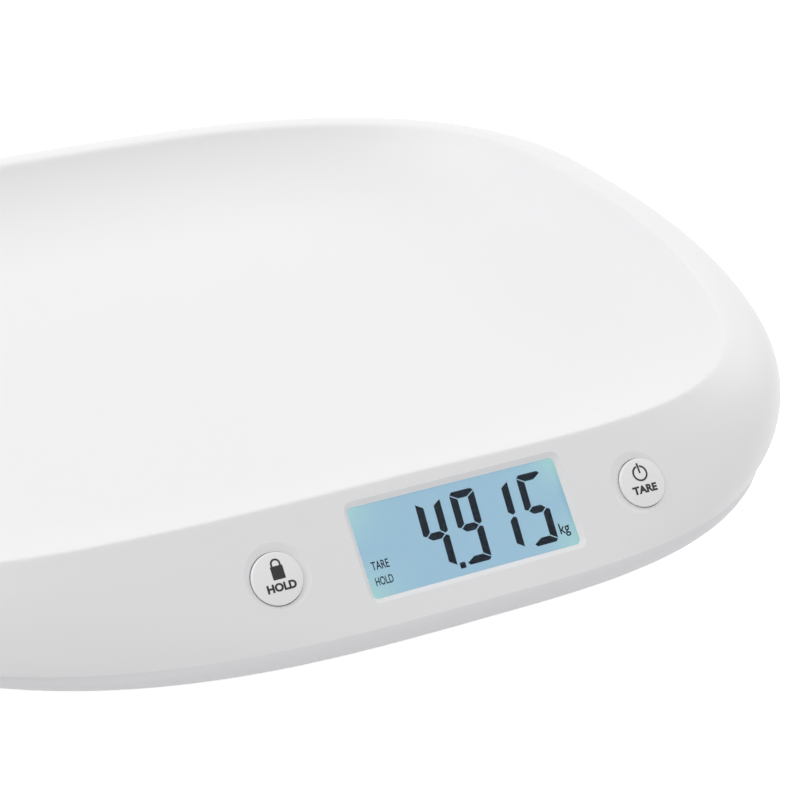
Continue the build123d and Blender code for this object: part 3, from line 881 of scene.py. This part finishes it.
@dataclass
class KeyLegend:
    """The icon and word printed on a round key.

    Attributes:
        finishes: all the finishes.
        node: the key's CAD node.
        body: the body it moves with.
        word: the word under the icon, placed from the cap's centre.
        x: the key's centre across the panel.
        v: the key's centre up the slope.
        radius: the cap's radius.
        fall: how far the crown drops from its middle to its edge.
        film: thickness of the print.
        cell: the print is cut this finely to follow the crown.
        boldness: how far the word's strokes grow, as a share of the letter size.
        steps: sides of a full ring.
    """

    finishes: Finishes
    node: str
    body: Body
    word: Word
    x: float
    v: float = -1.0 * MM
    radius: float = 9.7 * MM
    fall: float = 0.5 * MM
    film: float = 0.05 * MM
    cell: float = 0.9 * MM
    boldness: float = 0.045
    steps: int = 40

    def drape(self, mesh: bmesh.types.BMesh, height: float) -> None:
        """Lay a flat print on the domed cap.

        Args:
            mesh: the print around the cap's centre.
            height: the crown's height over the panel face.
        """
        lines = int(self.radius / self.cell)
        for axis in (Vector((1.0, 0.0, 0.0)), Vector((0.0, 1.0, 0.0))):
            for line in range(-lines, lines + 1):
                bmesh.ops.bisect_plane(
                    mesh, geom=mesh.verts[:] + mesh.edges[:] + mesh.faces[:],
                    plane_co=axis * line * self.cell, plane_no=axis,
                )
        bend = self.fall / (self.radius * self.radius)
        for vert in mesh.verts:
            vert.co.z -= bend * (vert.co.x**2 + vert.co.y**2)
        bmesh.ops.transform(mesh, verts=mesh.verts, matrix=PANEL.matrix(self.x, self.v, height))

    def ring(
        self, mesh: bmesh.types.BMesh, outer: float, stroke: float, arc: float, start: float
    ) -> None:
        """Add a flat arc of constant width.

        Args:
            mesh: the bmesh to add to.
            outer: outer radius.
            stroke: width of the line.
            arc: angle swept, in radians.
            start: starting angle from +X.
        """
        inner = outer - stroke
        corners = ((inner, 0.0), (outer, 0.0), (outer, self.film), (inner, self.film))
        section = [mesh.verts.new((radius, 0.0, z)) for radius, z in corners]
        face = bmesh.ops.contextual_create(mesh, geom=section)["faces"]
        bmesh.ops.rotate(
            mesh, verts=section, cent=(0, 0, 0), matrix=Matrix.Rotation(start, 3, "Z")
        )
        bmesh.ops.spin(
            mesh, geom=face + list(face[0].edges) + section, cent=(0, 0, 0), axis=(0, 0, 1),
            angle=arc, steps=self.steps, use_duplicate=False,
        )

    def icon(self, mesh: bmesh.types.BMesh) -> None:
        """Add the key's icon around the cap's centre.

        Args:
            mesh: the bmesh to add to.
        """
        raise NotImplementedError

    def build(self) -> None:
        """Build the icon and the word."""
        height = PANEL.height_of(frame["nodes"][self.node]) + PRINT_LIFT
        LOG.info("%s crown %.3f mm over the panel", self.node, height / MM)
        icon = bmesh.new()
        self.icon(icon)
        self.drape(icon, height)
        finish_piece(f"{self.node}_icon", icon, self.finishes.ink, self.body)
        word = self.word
        letters = word_mesh(word.text, word.width, word.height, self.boldness, self.film)
        bmesh.ops.translate(letters, verts=letters.verts, vec=(word.left, word.low, 0.0))
        self.drape(letters, height)
        finish_piece(f"{self.node}_word", letters, self.finishes.ink, self.body)


@dataclass
class HoldLegend(KeyLegend):
    """Padlock over the key's word.

    Attributes:
        shackle_radius: outer radius of the shackle.
        shackle_stroke: width of the shackle.
        shackle_rise: height of its straight sides over the body.
        overlap: how far they go into the body.
        body_width: width of the lock's body.
        body_height: height of the lock's body.
        body_low: bottom of the lock's body.
        corner: size of the cuts at the body's corners.
        middle: the lock's middle across the cap.
    """

    shackle_radius: float = 1.95 * MM
    shackle_stroke: float = 0.66 * MM
    shackle_rise: float = 0.75 * MM
    overlap: float = 0.1 * MM
    body_width: float = 4.75 * MM
    body_height: float = 5.0 * MM
    body_low: float = -0.62 * MM
    corner: float = 0.25 * MM
    middle: float = 0.52 * MM

    def icon(self, mesh: bmesh.types.BMesh) -> None:
        """Add the padlock around the cap's centre.

        Args:
            mesh: the bmesh to add to.
        """
        low, high, half = self.body_low, self.body_low + self.body_height, self.body_width / 2
        arch = high + self.shackle_rise
        self.ring(mesh, self.shackle_radius, self.shackle_stroke, math.pi, 0.0)
        bmesh.ops.translate(mesh, verts=mesh.verts, vec=(0.0, arch, 0.0))
        foot = high - self.overlap
        for side in (-1, 1):
            outer = side * self.shackle_radius
            inner = side * (self.shackle_radius - self.shackle_stroke)
            plate(mesh, [(inner, foot), (outer, foot), (outer, arch), (inner, arch)], self.film)
        cut = self.corner
        outline = [
            (-half + cut, low), (half - cut, low), (half, low + cut), (half, high - cut),
            (half - cut, high), (-half + cut, high), (-half, high - cut), (-half, low + cut),
        ]
        plate(mesh, outline, self.film)
        bmesh.ops.translate(mesh, verts=mesh.verts, vec=(self.middle, 0.0, 0.0))


@dataclass
class TareLegend(KeyLegend):
    """Power ring over the key's word.

    Attributes:
        ring_radius: outer radius of the ring.
        ring_stroke: width of the ring's line and of the bar.
        opening: angle of the gap at the ring's top, in radians.
        bar_top: top of the bar over the ring's middle.
        middle: the ring's middle across the cap.
        ring_middle: the ring's middle up the cap.
    """

    ring_radius: float = 3.25 * MM
    ring_stroke: float = 0.72 * MM
    opening: float = math.radians(26)
    bar_top: float = 4.15 * MM
    middle: float = -0.21 * MM
    ring_middle: float = 3.55 * MM

    def icon(self, mesh: bmesh.types.BMesh) -> None:
        """Add the power ring and its bar around the cap's centre.

        Args:
            mesh: the bmesh to add to.
        """
        start = math.pi / 2 + self.opening / 2
        self.ring(mesh, self.ring_radius, self.ring_stroke, 2 * math.pi - self.opening, start)
        half = self.ring_stroke / 2
        bar = [(-half, 0.0), (half, 0.0), (half, self.bar_top), (-half, self.bar_top)]
        plate(mesh, bar, self.film)
        bmesh.ops.translate(mesh, verts=mesh.verts, vec=(self.middle, self.ring_middle, 0.0))


# ---------------------------------------------------------------- studio


@dataclass
class Studio:
    """Floor, lights, world and camera.

    Attributes:
        floor_size: side of the floor.
        floor_colour: linear colour of the floor.
        floor_glow: how brightly the floor shows as background, 1 for white with no light.
        camera_from_panel: the camera's place from the middle of the display.
        camera_tilt: the camera's angle from straight down, in radians.
        camera_turn: the camera's turn about the vertical, in radians.
        lens: focal length in millimetres.
        sensor: sensor width in millimetres.
        white_level: strength of the light from all round.
        aim: where the lamps point.
        lamps: each lamp's name, place, diameter and power in watts.
    """

    floor_size: float = 6.0
    floor_colour: tuple[float, float, float] = (0.80, 0.80, 0.80)
    floor_glow: float = 0.8
    camera_from_panel: tuple[float, float, float] = (-0.28846, -0.52088, 0.35951)
    camera_tilt: float = math.radians(62.695)
    camera_turn: float = math.radians(-26.56)
    lens: float = 84.02
    sensor: float = 36.0
    white_level: float = 0.69
    aim: tuple[float, float, float] = (0.0, 0.0, 0.05)
    lamps: list[tuple[str, tuple[float, float, float], float, float]] = field(
        default_factory=lambda: [
            ("key_lamp", (-1.5, 0.7, 1.8), 2.4, 22.0),
            ("side_lamp", (1.6, 0.6, 1.3), 1.6, 9.0),
        ]
    )

    def floor(self) -> None:
        """Build the pale floor: white with the object's shadow, and clear from beneath."""
        mesh = bmesh.new()
        bmesh.ops.create_grid(mesh, x_segments=1, y_segments=1, size=self.floor_size / 2)
        data = bpy.data.meshes.new("floor")
        mesh.to_mesh(data)
        mesh.free()
        floor = bpy.data.objects.new("floor", data)
        bpy.context.scene.collection.objects.link(floor)
        material, shader = new_material("floor_paper")
        shader.inputs["Base Color"].default_value = (*self.floor_colour, 1.0)
        shader.inputs["Roughness"].default_value = 1.0
        shader.inputs["Specular IOR Level"].default_value = 0.0
        nodes, links = material.node_tree.nodes, material.node_tree.links
        glow = nodes.new("ShaderNodeMath")
        glow.operation = "MULTIPLY"
        glow.inputs[1].default_value = self.floor_glow
        links.new(background_rays(nodes, links), glow.inputs[0])
        shader.inputs["Emission Color"].default_value = (1.0, 1.0, 1.0, 1.0)
        links.new(glow.outputs[0], shader.inputs["Emission Strength"])
        beneath = nodes.new("ShaderNodeNewGeometry").outputs["Backfacing"]
        clear = nodes.new("ShaderNodeBsdfTransparent")
        side = nodes.new("ShaderNodeMixShader")
        links.new(beneath, side.inputs[0])
        links.new(shader.outputs[0], side.inputs[1])
        links.new(clear.outputs[0], side.inputs[2])
        links.new(side.outputs[0], nodes["Material Output"].inputs["Surface"])
        data.materials.append(material)

    def world(self) -> None:
        """Light the scene evenly and show white where nothing else is."""
        world = bpy.data.worlds.new("studio_world")
        bpy.context.scene.world = world
        world.use_nodes = True
        nodes, links = world.node_tree.nodes, world.node_tree.links
        background = nodes["Background"]
        background.inputs["Color"].default_value = (1.0, 1.0, 1.0, 1.0)
        level = nodes.new("ShaderNodeMix")
        level.data_type = "FLOAT"
        level.inputs["A"].default_value = self.white_level
        level.inputs["B"].default_value = 1.0
        links.new(background_rays(nodes, links), level.inputs["Factor"])
        links.new(level.outputs["Result"], background.inputs["Strength"])

    def light(self) -> None:
        """Hang the soft lamps."""
        for name, place, size, power in self.lamps:
            data = bpy.data.lights.new(name, "AREA")
            data.shape = "DISK"
            data.size = size
            data.energy = power
            lamp = bpy.data.objects.new(name, data)
            lamp.location = place
            towards = (Vector(self.aim) - Vector(place)).normalized()
            lamp.rotation_euler = towards.to_track_quat("-Z", "Y").to_euler()
            bpy.context.scene.collection.objects.link(lamp)

    def camera(self) -> None:
        """Set the camera over the left front corner."""
        data = bpy.data.cameras.new("camera")
        data.lens = self.lens
        data.sensor_width = self.sensor
        data.sensor_fit = "HORIZONTAL"
        camera = bpy.data.objects.new("camera", data)
        camera.location = PANEL.centre + Vector(self.camera_from_panel)
        camera.rotation_euler = (self.camera_tilt, 0.0, self.camera_turn)
        bpy.context.scene.collection.objects.link(camera)
        bpy.context.scene.camera = camera

    def build(self) -> None:
        """Set the whole studio."""
        self.camera()
        self.floor()
        self.world()
        self.light()
        bpy.context.scene.view_settings.view_transform = "Standard"


def main() -> None:
    """Dress the scale and set the studio."""
    logging.basicConfig(level=logging.INFO, format="%(name)s: %(message)s")
    studio = Studio()
    studio.build()
    finishes = Finishes()
    CadDresser(finishes).dress()
    SoftTray(finishes).build()
    Display(finishes).build()
    hold = Word("HOLD", -5.12 * MM, -4.7 * MM, 11.3 * MM, 2.9 * MM)
    HoldLegend(finishes, "hold_button", Body.HOLD_KEY, hold, -KEY_OFFSET).build()
    tare = Word("TARE", -5.66 * MM, -4.25 * MM, 10.8 * MM, 3.0 * MM)
    TareLegend(finishes, "tare_button", Body.TARE_KEY, tare, KEY_OFFSET).build()


if __name__ == "__main__":
    main()
